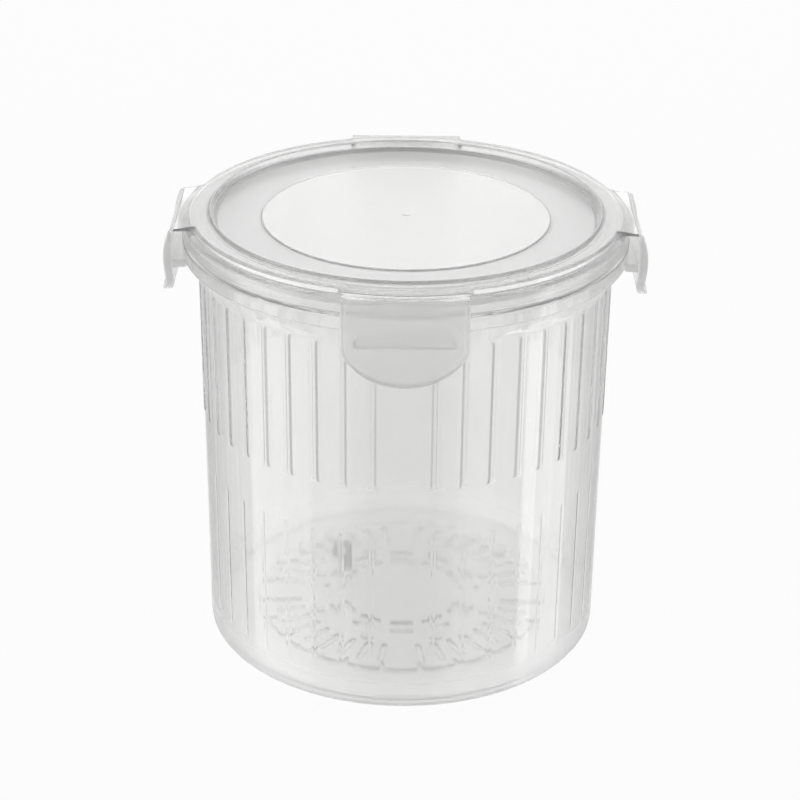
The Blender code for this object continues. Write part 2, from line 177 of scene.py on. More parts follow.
class KEEPER_PG_tray(PropertyGroup):
    """Sizes of the drain tray."""
    radius: length("Radius", "Outside radius of the plate", 0.0384)
    bottom: length("Underside", "Height of the plate's underside", 0.0024)
    top: length("Top", "Height of the plate's top", 0.0034)
    notch_count: IntProperty(name="Notches", description="Notches round the rim", default=24, min=3)
    notch_depth: length("Notch depth", "Depth of a notch", 0.0030)
    notch_width: length("Notch width", "Width of a notch at the rim", 0.0016)
    slot_count: IntProperty(name="Slots", description="Places for radial slots", default=40, min=4)
    slot_inner: length("Slot start", "Where the radial slots start", 0.0275)
    slot_outer: length("Slot end", "Where the radial slots end", 0.0345)
    slot_width: length("Slot width", "Width of a radial slot", 0.0014)
    arc_count: IntProperty(name="Arc slots", description="Arc slots in each ring", default=12, min=3)
    arc_width: length("Arc slot width", "Width of an arc slot", 0.0011)
    arc_length: length("Arc slot length", "Length of an arc slot", 0.0050)
    foot_circle: length("Foot circle", "Radius of the circle of feet", 0.0240)
    foot_radius: length("Foot radius", "Radius of a foot", 0.0015)
    lug_x: FloatProperty(name="Lug X", description="Where the finger lug stands", default=-0.0164,
                         unit='LENGTH', precision=5)
    lug_y: FloatProperty(name="Lug Y", description="Where the finger lug stands", default=0.0104,
                         unit='LENGTH', precision=5)
    lug_width: length("Lug width", "Width of the lug's loop", 0.0050)
    lug_loop: length("Lug loop", "Height of the lug's loop", 0.0064)
    lug_height: length("Lug height", "Height of the lug over the plate", 0.0097)
    lug_wall: length("Lug wall", "Thickness of the lug", 0.0014)
    lug_stem: length("Lug stem", "Width of the lug's stem", 0.0031)


class KEEPER_PG_look(PropertyGroup):
    """Colours of the plastics."""
    jar_tint: tint("Jar", "Clear jar plastic", (0.92, 0.92, 0.916))
    lid_tint: tint("Lid", "Clear lid plastic", (0.99, 0.99, 0.986))
    seal_tint: tint("Seal", "Clear soft seal", (0.94, 0.94, 0.935))
    latch_tint: tint("Latches", "Clear latch plastic", (0.95, 0.95, 0.945))
    tray_tint: tint("Tray", "Clear tray plastic", (0.995, 0.995, 0.991))
    backdrop: tint("Backdrop", "Floor and backdrop", (0.99, 0.99, 0.99))


GROUPS = {
    "keeper_jar": KEEPER_PG_jar,
    "keeper_lid": KEEPER_PG_lid,
    "keeper_latch": KEEPER_PG_latch,
    "keeper_tray": KEEPER_PG_tray,
    "keeper_look": KEEPER_PG_look,
}


# Curves and surfaces

def smooth_step(low, high, x):
    """0 below low, 1 above high, and 3t^2 - 2t^3 between them, where t is the share of the way."""
    t = np.clip((x - low) / (high - low), 0, 1)
    return t * t * (3 - 2 * t)


def eased(x, xs, ys):
    """Cubic curve through the points (xs, ys): Hermite pieces whose slopes at the points are the
    differences of their neighbours."""
    xs, ys = np.asarray(xs, float), np.asarray(ys, float)
    slopes = np.gradient(ys, xs)
    k = np.clip(np.searchsorted(xs, x) - 1, 0, len(xs) - 2)
    width = xs[k + 1] - xs[k]
    t = (x - xs[k]) / width
    return ((1 + 2 * t) * (1 - t) ** 2 * ys[k] + t * (1 - t) ** 2 * width * slopes[k]
            + t ** 2 * (3 - 2 * t) * ys[k + 1] + t ** 2 * (t - 1) * width * slopes[k + 1])


def rounded(corners, steps=4):
    """Profile through corners (radius, height, rounding): each corner becomes an arc that touches
    both its sides at the distance rounding / tan(half the corner's angle)."""
    points = []
    spots = [np.array(corner[:2]) for corner in corners]
    for i, corner in enumerate(corners):
        rounding = corner[2]
        if not rounding:
            points.append(spots[i])
            continue
        to_last = spots[i - 1] - spots[i]
        to_next = spots[(i + 1) % len(spots)] - spots[i]
        to_last, to_next = to_last / np.linalg.norm(to_last), to_next / np.linalg.norm(to_next)
        half = math.acos(np.clip(to_last @ to_next, -1, 1)) / 2
        middle = to_last + to_next
        centre = spots[i] + middle / np.linalg.norm(middle) * rounding / math.sin(half)
        first = spots[i] + to_last * rounding / math.tan(half) - centre
        last = spots[i] + to_next * rounding / math.tan(half) - centre
        turn = math.pi - 2 * half
        for t in np.linspace(0, 1, steps + 1):
            blend = (math.sin((1 - t) * turn) * first + math.sin(t * turn) * last) / math.sin(turn)
            points.append(centre + blend)
    return np.array(points)


def spread_angles(count, offsets):
    """Angles round the axis at the given offsets on both sides of each of count even places,
    but for the one at the front."""
    places = -np.pi / 2 + 2 * np.pi * np.arange(1, count) / count
    both = np.unique(np.concatenate((-np.asarray(offsets), offsets)))
    return (places[:, None] + both[None, :]).ravel()


def tidy_angles(*sets, gap=0.0009):
    """All the angles in order, wrapped into one turn, without those closer than gap."""
    angles = np.sort(np.mod(np.concatenate(sets), 2 * np.pi))
    keep = np.diff(angles, prepend=angles[-1] - 2 * np.pi) > gap
    return angles[keep]


def quads(rows, columns, wrap_rows, wrap_columns):
    """Corner numbers of the quads of a grid of points, row after row."""
    index = np.arange(rows * columns).reshape(rows, columns)
    if wrap_rows:
        index = np.vstack((index, index[:1]))
    if wrap_columns:
        index = np.hstack((index, index[:, :1]))
    corners = (index[:-1, :-1], index[:-1, 1:], index[1:, 1:], index[1:, :-1])
    return np.stack(corners, axis=-1).reshape(-1, 4)


def smooth(mesh):
    """Smooth shading with each corner's normal the sum of its faces' normals times their areas, so
    that wide flat faces stay flat beside small roundings."""
    count = len(mesh.polygons)
    normals, areas, totals = np.empty(count * 3), np.empty(count), np.empty(count, int)
    mesh.polygons.foreach_get("normal", normals)
    mesh.polygons.foreach_get("area", areas)
    mesh.polygons.foreach_get("loop_total", totals)
    corners = np.empty(len(mesh.loops), int)
    mesh.loops.foreach_get("vertex_index", corners)
    sums = np.zeros((len(mesh.vertices), 3))
    np.add.at(sums, corners, np.repeat(normals.reshape(-1, 3) * areas[:, None], totals, axis=0))
    sums /= np.maximum(np.linalg.norm(sums, axis=1, keepdims=True), 1e-20)
    mesh.shade_smooth()
    mesh.normals_split_custom_set_from_vertices(sums)


def surface(name, grids):
    """One object from grids (points, wrap_rows, wrap_columns): each grid's points become quads,
    poles and seams are merged, holes are closed and the faces turned outwards."""
    vertices, faces, start = [], [], 0
    for points, wrap_rows, wrap_columns in grids:
        rows, columns = points.shape[:2]
        vertices.append(points.reshape(-1, 3))
        faces.append(quads(rows, columns, wrap_rows, wrap_columns) + start)
        start += rows * columns
    vertices, faces = np.concatenate(vertices), np.concatenate(faces)
    mesh = bpy.data.meshes.new(name)
    mesh.vertices.add(len(vertices))
    mesh.vertices.foreach_set("co", vertices.ravel())
    mesh.loops.add(faces.size)
    mesh.loops.foreach_set("vertex_index", faces.ravel())
    mesh.polygons.add(len(faces))
    mesh.polygons.foreach_set("loop_start", np.arange(0, faces.size, 4))
    mesh.update(calc_edges=True)
    data = bmesh.new()
    data.from_mesh(mesh)
    bmesh.ops.remove_doubles(data, verts=data.verts, dist=2e-6)
    open_edges = [edge for edge in data.edges if edge.is_boundary]
    if open_edges:
        bmesh.ops.holes_fill(data, edges=open_edges)
    bmesh.ops.recalc_face_normals(data, faces=data.faces)
    data.to_mesh(mesh)
    data.free()
    smooth(mesh)
    thing = bpy.data.objects.new(name, mesh)
    bpy.context.scene.collection.objects.link(thing)
    return thing


def turned(profile, angles, radii=None):
    """Points of a profile turned about Z: x = r cos a, y = r sin a, z = h. radii, where given,
    replaces the profile's radius at each height and angle."""
    radii = profile[:, :1] + 0 * angles if radii is None else radii
    heights = profile[:, 1:2] + 0 * angles
    return np.stack((radii * np.cos(angles), radii * np.sin(angles), heights), axis=-1)


def facing(turn, across, outward, height):
    """Points given across, outward and up from the axis, turned to face a direction."""
    x = outward * math.cos(turn) - across * math.sin(turn)
    y = outward * math.sin(turn) + across * math.cos(turn)
    return np.stack((x, y, height + 0 * x), axis=-1)


# Materials

def link(tree, source, output, target, entry):
    """Join two node sockets by name or number."""
    tree.links.new(source.outputs[output], target.inputs[entry])


def node(tree, kind, place, **settings):
    """Add a node and set its properties."""
    made = tree.nodes.new(kind)
    made.location = place
    for key, value in settings.items():
        setattr(made, key, value)
    return made


def maths(tree, operation, *terms):
    """A node that works out an operation on numbers or outputs; gives its output."""
    made = node(tree, 'ShaderNodeMath', (-900, 0), operation=operation)
    for entry, term in enumerate(terms):
        if isinstance(term, float):
            made.inputs[entry].default_value = term
        else:
            link(tree, *term, made, entry)
    return made, "Value"


def ramp(tree, term, low, high, start, end):
    """A node that eases from start at low to end at high; gives its output."""
    made = node(tree, 'ShaderNodeMapRange', (-600, 0), interpolation_type='SMOOTHSTEP')
    for entry, value in (("From Min", low), ("From Max", high), ("To Min", start), ("To Max", end)):
        made.inputs[entry].default_value = value
    link(tree, *term, made, "Value")
    return made, "Result"


def moulded_surface():
    """Group: slow flow waves and fine grain of a moulding, as a height, with the haze's roughness
    and a slight drift of the tint."""
    group = bpy.data.node_groups.new("moulded_surface", 'ShaderNodeTree')
    face = group.interface
    face.new_socket("Vector", in_out='INPUT', socket_type='NodeSocketVector')
    for name, value in (("Flow Scale", 40.0), ("Flow Stretch", 0.35), ("Grain Scale", 900.0),
                        ("Grain Share", 0.15), ("Haze Scale", 60.0), ("Clear Roughness", 0.04),
                        ("Hazy Roughness", 0.12)):
        socket = face.new_socket(name, in_out='INPUT', socket_type='NodeSocketFloat')
        socket.default_value = value
    for name in ("Tint", "Deep Tint"):
        face.new_socket(name, in_out='INPUT', socket_type='NodeSocketColor')
    face.new_socket("Color", in_out='OUTPUT', socket_type='NodeSocketColor')
    face.new_socket("Roughness", in_out='OUTPUT', socket_type='NodeSocketFloat')
    face.new_socket("Height", in_out='OUTPUT', socket_type='NodeSocketFloat')
    start = node(group, 'NodeGroupInput', (-900, 0))
    end = node(group, 'NodeGroupOutput', (600, 0))

    parts = node(group, 'ShaderNodeSeparateXYZ', (-700, 250))
    link(group, start, "Vector", parts, "Vector")
    squeeze = node(group, 'ShaderNodeMath', (-520, 180), operation='MULTIPLY')
    link(group, parts, "Z", squeeze, 0)
    link(group, start, "Flow Stretch", squeeze, 1)
    along = node(group, 'ShaderNodeCombineXYZ', (-340, 250))
    link(group, parts, "X", along, "X")
    link(group, parts, "Y", along, "Y")
    link(group, squeeze, "Value", along, "Z")
    flow = node(group, 'ShaderNodeTexNoise', (-160, 250))
    flow.inputs["Detail"].default_value = 2.0
    link(group, along, "Vector", flow, "Vector")
    link(group, start, "Flow Scale", flow, "Scale")
    grain = node(group, 'ShaderNodeTexNoise', (-160, 0))
    grain.inputs["Detail"].default_value = 3.0
    link(group, start, "Vector", grain, "Vector")
    link(group, start, "Grain Scale", grain, "Scale")
    height = node(group, 'ShaderNodeMix', (120, 150), data_type='FLOAT')
    link(group, start, "Grain Share", height, "Factor")
    link(group, flow, "Fac", height, 2)
    link(group, grain, "Fac", height, 3)
    link(group, height, 0, end, "Height")

    haze = node(group, 'ShaderNodeTexNoise', (-160, -250))
    haze.inputs["Detail"].default_value = 4.0
    link(group, along, "Vector", haze, "Vector")
    link(group, start, "Haze Scale", haze, "Scale")
    rough = node(group, 'ShaderNodeMapRange', (120, -100))
    rough.inputs["From Min"].default_value = 0.35
    rough.inputs["From Max"].default_value = 0.7
    link(group, haze, "Fac", rough, "Value")
    link(group, start, "Clear Roughness", rough, "To Min")
    link(group, start, "Hazy Roughness", rough, "To Max")
    link(group, rough, "Result", end, "Roughness")
    colour = node(group, 'ShaderNodeMix', (120, -350), data_type='RGBA')
    link(group, haze, "Fac", colour, "Factor")
    link(group, start, "Tint", colour, 6)
    link(group, start, "Deep Tint", colour, 7)
    link(group, colour, 2, end, "Color")
    return group


def clear_plastic(name, colour, clear, hazy, milk, flow, bump, soak, grain=0.15, ior=1.49, coat=0.0,
                  coat_roughness=0.04, lets=0.93, zones=(), part=None):
    """A clear moulded plastic: mostly glass, a little milky, with flow waves and a fine grain.

    soak is how much light a metre of it takes in. Lamps shine through it, tinted by lets. zones
    are (radius, roughness, tone), from the largest radius to the smallest: the finish inside each,
    its roughness and a tone that scales the tint, where a tone well under 1 is painted shade.
    part is (from, to, roughness, tone): the finish beyond the height from, its roughness and a tone
    that scales the tint, which runs out at the height to; there too a tone well under 1 is painted shade."""
    material = bpy.data.materials.new(name)
    material.use_nodes = True
    tree = material.node_tree
    tree.nodes.clear()
    place = node(tree, 'ShaderNodeTexCoord', (-1100, 0))
    moulded = node(tree, 'ShaderNodeGroup', (-750, 0), node_tree=bpy.data.node_groups["moulded_surface"])
    link(tree, place, "Object", moulded, "Vector")
    moulded.inputs["Flow Scale"].default_value = flow
    moulded.inputs["Grain Share"].default_value = grain
    moulded.inputs["Clear Roughness"].default_value = clear
    moulded.inputs["Hazy Roughness"].default_value = hazy
    moulded.inputs["Tint"].default_value = (*colour, 1)
    moulded.inputs["Deep Tint"].default_value = (*(c * 0.97 for c in colour), 1)
    relief = node(tree, 'ShaderNodeBump', (-350, -250))
    relief.inputs["Strength"].default_value = bump
    relief.inputs["Distance"].default_value = 0.0004
    link(tree, moulded, "Height", relief, "Height")
    shader = node(tree, 'ShaderNodeBsdfPrincipled', (-100, 0))
    shader.inputs["Metallic"].default_value = 0.0
    shader.inputs["IOR"].default_value = ior
    shader.inputs["Transmission Weight"].default_value = 1 - milk
    shader.inputs["Coat Weight"].default_value = coat
    shader.inputs["Coat Roughness"].default_value = coat_roughness
    link(tree, relief, "Normal", shader, "Normal")
    finish, shade = (moulded, "Roughness"), (moulded, "Color")
    if zones:
        flat = node(tree, 'ShaderNodeVectorMath', (-1100, -450), operation='MULTIPLY')
        flat.inputs[1].default_value = (1, 1, 0)
        link(tree, place, "Object", flat, 0)
        reach = node(tree, 'ShaderNodeVectorMath', (-940, -450), operation='LENGTH')
        link(tree, flat, "Vector", reach, 0)
        for step, (radius, rough, tone) in enumerate(zones):
            zone = node(tree, 'ShaderNodeMapRange', (-780 + 300 * step, -450))
            zone.inputs["From Min"].default_value = radius + 0.0002
            zone.inputs["From Max"].default_value = radius - 0.0002
            link(tree, reach, "Value", zone, "Value")
            mixed = node(tree, 'ShaderNodeMix', (-620 + 300 * step, -450), data_type='FLOAT')
            link(tree, zone, "Result", mixed, "Factor")
            link(tree, *finish, mixed, 2)
            mixed.inputs[3].default_value = rough
            toned = node(tree, 'ShaderNodeMix', (-620 + 300 * step, -700), data_type='RGBA')
            link(tree, zone, "Result", toned, "Factor")
            link(tree, *shade, toned, 6)
            toned.inputs[7].default_value = (*(c * tone for c in colour), 1)
            finish, shade = (mixed, 0), (toned, 2)
    if part:
        start, end, rough, tone = part
        parts = node(tree, 'ShaderNodeSeparateXYZ', (-940, -900))
        link(tree, place, "Object", parts, "Vector")
        there = ramp(tree, (parts, "Z"), start, end, 1.0, 0.0)
        mixed = node(tree, 'ShaderNodeMix', (-450, -900), data_type='FLOAT')
        link(tree, *there, mixed, "Factor")
        link(tree, *finish, mixed, 2)
        mixed.inputs[3].default_value = rough
        toned = node(tree, 'ShaderNodeMix', (-450, -1100), data_type='RGBA')
        link(tree, *there, toned, "Factor")
        link(tree, *shade, toned, 6)
        toned.inputs[7].default_value = (*(c * tone for c in colour), 1)
        finish, shade = (mixed, 0), (toned, 2)
    link(tree, *finish, shader, "Roughness")
    link(tree, *shade, shader, "Base Color")
    through = node(tree, 'ShaderNodeBsdfTransparent', (-100, 250))
    through.inputs["Color"].default_value = (lets, lets, lets, 1)
    path = node(tree, 'ShaderNodeLightPath', (-100, 600))
    both = node(tree, 'ShaderNodeMixShader', (250, 100))
    link(tree, path, "Is Shadow Ray", both, "Fac")
    link(tree, shader, "BSDF", both, 1)
    link(tree, through, "BSDF", both, 2)
    out = node(tree, 'ShaderNodeOutputMaterial', (450, 100))
    link(tree, both, "Shader", out, "Surface")
    if soak:
        inside = node(tree, 'ShaderNodeVolumeAbsorption', (250, -150))
        inside.inputs["Color"].default_value = (0, 0, 0, 1)
        inside.inputs["Density"].default_value = soak
        link(tree, inside, "Volume", out, "Volume")
    return material


def plastic(slot):
    """The finish of a material slot, made once."""
    look = bpy.context.scene.keeper_look
    if "moulded_surface" not in bpy.data.node_groups:
        moulded_surface()
    if slot + "_look" in bpy.data.materials:
        return bpy.data.materials[slot + "_look"]
    values = {
        "clear_jar_plastic": dict(colour=look.jar_tint, clear=0.07, hazy=0.1, milk=0.08, flow=35.0,
                                  bump=0.03, soak=6.0, grain=0.05, coat=0.3,
                                  part=(0.002, 0.016, 0.35, 1.05)),
        "clear_lid_plastic": dict(colour=look.lid_tint, clear=0.07, hazy=0.09, milk=0.02, flow=30.0,
                                  bump=0.008, soak=8.0, grain=0.1, coat=0.3,
                                  part=(0.1115, 0.1118, 0.25, 1.0),
                                  # The first zone's tone of 0.55 paints a dark line of shade round the
                                  # crest's outer flank and step, 48.9 to 49.7 mm out; the next zone gives
                                  # the full tint back
                                  zones=((0.0497, 0.24, 0.55), (0.0489, 0.24, 1.0), (0.0477, 0.36, 0.97),
                                         (0.036, 0.15, 1.0))),
        "clear_silicone": dict(colour=look.seal_tint, clear=0.4, hazy=0.5, milk=0.5, flow=60.0,
                               bump=0.1, soak=25.0, grain=0.3, ior=1.41),
        "clear_latch_plastic": dict(colour=look.latch_tint, clear=0.38, hazy=0.42, milk=0.25, flow=45.0,
                                    bump=0.05, soak=15.0, grain=0.1, coat=0.5),
        "clear_tray_plastic": dict(colour=look.tray_tint, clear=0.17, hazy=0.22, milk=0.04, flow=50.0,
                                   # Above 4.5 mm, which is the finger lug, the tone of 0.55 paints shade on
                                   # the same clear plastic, so that the lug shows dark grey
                                   bump=0.05, soak=3.0, grain=0.1, part=(0.0045, 0.004, 0.2, 0.55)),
    }[slot]
    return clear_plastic(slot + "_look", **values)


def dress(thing, slot, body, *nodes):
    """Give a finished piece its finish, the body it rides on and the solids it stands for."""
    thing.data.materials.clear()
    thing.data.materials.append(plastic(slot))
    if body:
        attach(thing, body)
    if nodes:
        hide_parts(*nodes)


# The jar

def jar_wall_radius(jar, height):
    """Outside radius of the tapered wall: straight from the foot's radius to the collar root's."""
    return jar.wall_radius - jar.draft * (1 - height / jar.collar_root)


def nearest_rib(angles, count):
    """Arc from each angle to the nearest rib, in radians; the place at the front has no rib."""
    pitch = 2 * np.pi / count
    steps = np.mod(angles + np.pi / 2, 2 * np.pi) / pitch
    place = np.clip(np.round(steps), 1, count - 1)
    return np.abs(steps - place) * pitch


def outer_relief(jar, angles, heights):
    """Height of the ribs and of the band above the fields between them.

    A field is a tall rectangle with round upper corners, open below. With s the way from the
    rib's side, t the way down from the field's top and c the corner, the depth into the field is
    c - |(max(c - s, 0), max(c - t, 0))|. The relief falls from full to none as that depth grows
    from -e to e. It also ends at the rib's foot, where the rib spreads a little, and runs out on
    the slope up to the collar."""
    edge, corner = 0.0004, jar.panel_corner
    z, a = np.meshgrid(heights, angles, indexing='ij')
    foot_spread = 0.00045 * np.exp(-np.clip(z - jar.rib_bottom, 0, None) / 0.0006)
    side = nearest_rib(a, jar.rib_count) * jar.wall_radius - jar.rib_width / 2 - foot_spread
    down = jar.panel_top - z
    depth = corner - np.hypot(np.clip(corner - side, 0, None), np.clip(corner - down, 0, None))
    raised = 1 - smooth_step(-edge, edge, depth)
    raised *= smooth_step(jar.rib_bottom - 0.0003, jar.rib_bottom + 0.0003, z)
    raised *= 1 - smooth_step(jar.collar_root, jar.collar_bottom, z)
    return jar.rib_height * raised


def inner_relief(jar, angles, heights):
    """Height of the inside ribs: a smooth ridge in each, with ends that run out into the wall."""
    z, a = np.meshgrid(heights, angles, indexing='ij')
    side = nearest_rib(a, jar.inner_count) * (jar.wall_radius - jar.wall) - jar.inner_width / 2
    raised = 1 - smooth_step(-0.0004, 0.0003, side)
    raised *= smooth_step(jar.inner_bottom - 0.0003, jar.inner_bottom + 0.0006, z)
    raised *= 1 - smooth_step(jar.inner_top - 0.0006, jar.inner_top + 0.0003, z)
    return jar.inner_height * raised


class KEEPER_OT_jar(Operator):
    """Make the clear jar with its foot, ribs, collar and rim"""
    bl_idname = "keeper.jar"
    bl_label = "Jar"

    def execute(self, context):
        jar = context.scene.keeper_jar
        top, reach = JAR_HIGH[2], JAR_HIGH[0]
        base = jar.wall_radius - jar.draft
        inner_base, rim = base - jar.wall, jar.wall_radius - jar.wall
        under = [
            (0, jar.foot_rise, 0),
            (base - jar.foot_land - 3 * jar.foot_rise, jar.foot_rise, 0),
            (base - jar.foot_land - jar.foot_rise, jar.foot_rise, 0.0003),
            (base - jar.foot_land, 0, 0.0002),
            (base, 0, jar.foot_round),
            (jar_wall_radius(jar, 0.004), 0.004, 0),
        ]
        foot_rows = jar.rib_bottom + np.array((-0.6, -0.3, -0.15, 0, 0.15, 0.3, 0.55, 0.9, 1.5)) * MM
        corner_rows = jar.panel_top + np.array((-2.0, -1.3, -0.9, -0.6, -0.35, -0.15, 0, 0.15, 0.3)) * MM
        wall_heights = np.concatenate(((0.02, 0.04), foot_rows, (0.075, 0.088), corner_rows))
        wall_rows = np.stack((jar_wall_radius(jar, wall_heights), wall_heights), axis=-1)
        collar = [
            (jar.wall_radius, jar.collar_root, 0),
            (jar.wall_radius + 0.0008, (jar.collar_root + jar.collar_bottom) / 2, 0),
            (reach - jar.collar_ledge, jar.collar_bottom, 0.0003),
            (reach, jar.collar_bottom, 0.0005),
            (reach, jar.collar_top, 0.0005),
            (jar.wall_radius, jar.collar_top, 0.0004),
            (jar.wall_radius, top, 0.0006),
            (rim, top, 0.0006),
            (rim, top - 0.004, 0),
        ]
        inner_heights = np.concatenate((
            (0.09, 0.07), jar.inner_top + np.array((0.6, 0.3, 0, -0.3, -0.6, -1.2)) * MM, (0.03,),
            jar.inner_bottom + np.array((1.2, 0.6, 0.3, 0, -0.3, -0.6)) * MM))
        inner_rows = np.stack((jar_wall_radius(jar, inner_heights) - jar.wall, inner_heights), axis=-1)
        floor = [
            (jar_wall_radius(jar, 0.006) - jar.wall, 0.006, 0),
            (inner_base, jar.floor, jar.inner_round),
            (0.040, jar.floor, 0),
            (0, jar.floor, 0),
        ]
        parts = [rounded(under), wall_rows, rounded(collar), inner_rows, rounded(floor, 6)]
        profile = np.concatenate(parts)
        kinds = np.concatenate([np.full(len(part), kind) for part, kind in zip(parts, (0, 1, 2, 3, 0))])
        ribs = np.array((0, 0.2, 0.35, 0.5, 0.62, 0.78, 0.95, 1.4)) * MM / jar.wall_radius
        inner_ribs = np.array((0, 0.2, 0.4, 0.6, 0.75)) * MM / rim
        angles = tidy_angles(
            spread_angles(jar.rib_count, ribs), spread_angles(jar.inner_count, inner_ribs),
            np.linspace(0, 2 * np.pi, 90, endpoint=False), gap=0.0014)
        radii = profile[:, :1] + 0 * angles
        outside = (kinds == 1) | ((kinds == 2) & (profile[:, 1] < jar.collar_bottom - 1e-5))
        radii[outside] += outer_relief(jar, angles, profile[outside, 1])
        inside = kinds == 3
        radii[inside] -= inner_relief(jar, angles, profile[inside, 1])
        shell = surface("jar_shell", [(turned(profile, angles, radii), False, True)])
        dress(shell, "clear_jar_plastic", "jar", "container")
        return {'FINISHED'}


# The lid and its seal

def ear_outline(lid, angles):
    """Outer radius of the ledge and ears at each angle.

    Seen from above, an ear has a straight front at the hinge, sides straight along it, and a round
    fillet into the ledge. With b the angle from the ear's middle, the front is reach / cos b, the
    side half / sin b, and the fillet is where the ray meets its circle. The ledge is the rest."""
    reach, half, fillet = LID_HIGH[0], lid.ear_width / 2, lid.ear_fillet
    off = np.abs(np.mod(angles + np.pi / 4, np.pi / 2) - np.pi / 4)
    root_half = half + fillet
    root = math.sqrt(lid.ledge_radius ** 2 - root_half ** 2)
    centre = np.array((root + fillet, root_half))
    front_end = math.atan2(half, reach)
    side_end = math.atan2(half, root + fillet)
    fillet_end = math.atan2(root_half, root)
    middle = np.cos(off) * centre[0] + np.sin(off) * centre[1]
    inside = np.clip(middle ** 2 - (centre @ centre - fillet ** 2), 0, None)
    radius = np.where(off < front_end, reach / np.cos(off),
                      np.where(off < side_end, half / np.clip(np.sin(off), 1e-3, None),
                               np.where(off < fillet_end, middle - np.sqrt(inside), lid.ledge_radius)))
    return np.maximum(radius, lid.ledge_radius)


def lid_angles(lid):
    """Angles for the lid: even ones, and close ones where an ear's sides and fillets are."""
    reach, half = LID_HIGH[0], lid.ear_width / 2
    root_half = half + lid.ear_fillet
    root = math.sqrt(lid.ledge_radius ** 2 - root_half ** 2)
    front_end = math.atan2(half, reach)
    side_end = math.atan2(half, root + lid.ear_fillet)
    fillet_end = math.atan2(root_half, root)
    near = np.concatenate((
        front_end + np.array((-0.003, -0.0008, 0)), np.linspace(front_end, side_end, 5)[1:],
        np.linspace(side_end, fillet_end, 12)[1:], fillet_end + np.array((0.004, 0.01))))
    ears = [turn + sign * near for _, _, turn in LATCHES for sign in (1, -1)]
    return tidy_angles(*ears, np.linspace(0, 2 * np.pi, 300, endpoint=False), gap=0.0006)


class KEEPER_OT_lid(Operator):
    """Make the clear lid with its crest ring, sunken band, centre disc, plug ring, skirt and ears"""
    bl_idname = "keeper.lid"
    bl_label = "Lid"

    def execute(self, context):
        lid = context.scene.keeper_lid
        top = LID_HIGH[2]
        disc_top = lid.band_top + lid.disc_rise
        under = lid.band_top - lid.panel_wall
        plug_inner = lid.plug_radius - lid.plug_wall
        edge_top = lid.ledge_top - lid.ledge_fall
        inner = [
            (0, disc_top + lid.mark_height, 0),
            (lid.mark_radius * 0.5, disc_top + lid.mark_height, 0.0002),
            (lid.mark_radius, disc_top, 0.0002),
            (lid.disc_radius * 0.5, disc_top, 0),
            (lid.disc_radius, disc_top, 0.0003),
            (lid.disc_radius + 0.0002, lid.band_top, 0.0002),
            (lid.band_radius, lid.band_top, 0.0005),
            (lid.crest_radius, top, 0.0004),
            (lid.crest_radius + 0.0004, top, 0.0002),
            (lid.crest_radius + 0.0007, lid.ledge_top - lid.crest_step, 0.0002),
            (lid.crest_radius + 0.0012, lid.ledge_top - lid.crest_step, 0),
        ]
        # From under the ledge round the skirt, the seal channel, the plug ring and the panel's underside
        outer = [
            (lid.ledge_radius + 0.0005, lid.ear_bottom - 0.0001, 0),
            (lid.skirt_radius, lid.shoulder, 0.0004),
            (lid.skirt_radius, lid.skirt_bottom, 0.0004),
            (lid.skirt_radius - lid.skirt_wall, lid.skirt_bottom, 0.0004),
            (lid.skirt_radius - lid.skirt_wall, lid.channel_top, 0.0004),
            (lid.plug_radius, lid.channel_top, 0.0004),
            (lid.plug_radius, lid.plug_bottom, 0.0004),
            (plug_inner, lid.plug_bottom, 0.0004),
            (plug_inner, under, 0.0006),
            (lid.disc_radius + 0.0006, under, 0.0004),
            (lid.disc_radius, under + lid.disc_rise, 0.0004),
            (lid.disc_radius * 0.5, under + lid.disc_rise, 0),
            (0, under + lid.disc_rise, 0),
        ]
        inner_rows = rounded(inner)
        outer_rows = rounded(outer)
        angles = lid_angles(lid)
        rim = ear_outline(lid, angles)
        reach, flat = LID_HIGH[0], lid.ledge_radius - 0.0012
        ear_top = lid.ear_bottom + lid.ear_edge
        ear = smooth_step(lid.ledge_radius, lid.ledge_radius + 0.0008, rim)
        # The ledge's outer part: from the flat out to the rim, round the edge and back underneath
        rows, heights = [], []
        edge = 0.00045
        for share_out in (0.0, 0.3, 0.6, 0.85):
            radius = flat + (rim - edge - flat) * share_out
            fall = np.clip((radius - flat) / (reach - flat), 0, 1)
            rows.append(radius)
            heights.append(edge_top + (ear_top - edge_top) * fall)
        tip_fall = np.clip((rim - flat) / (reach - flat), 0, 1)
        tip_top = edge_top + (ear_top - edge_top) * tip_fall
        for angle in np.radians((0, 30, 60, 90)):
            rows.append(rim - edge + edge * math.sin(angle))
            heights.append(tip_top - edge + edge * math.cos(angle))
        low = lid.ear_bottom + 0.0001 * (1 - ear)
        small = 0.00015
        for angle in np.radians((0, 45, 90)):
            rows.append(rim - small + small * math.cos(angle))
            heights.append(low + small - small * math.sin(angle))
        rows.append(np.minimum(rim - 0.0002, lid.ledge_radius + 0.0003))
        heights.append(low + 0 * rim)
        ledge = turned(np.zeros((len(rows), 2)), angles, np.array(rows))
        ledge[:, :, 2] = np.array(heights)
        points = np.concatenate((turned(inner_rows, angles), ledge, turned(outer_rows, angles)))
        shell = surface("lid_shell", [(points, False, True)])
        dress(shell, "clear_lid_plastic", "closing_lid", "lid")
        return {'FINISHED'}


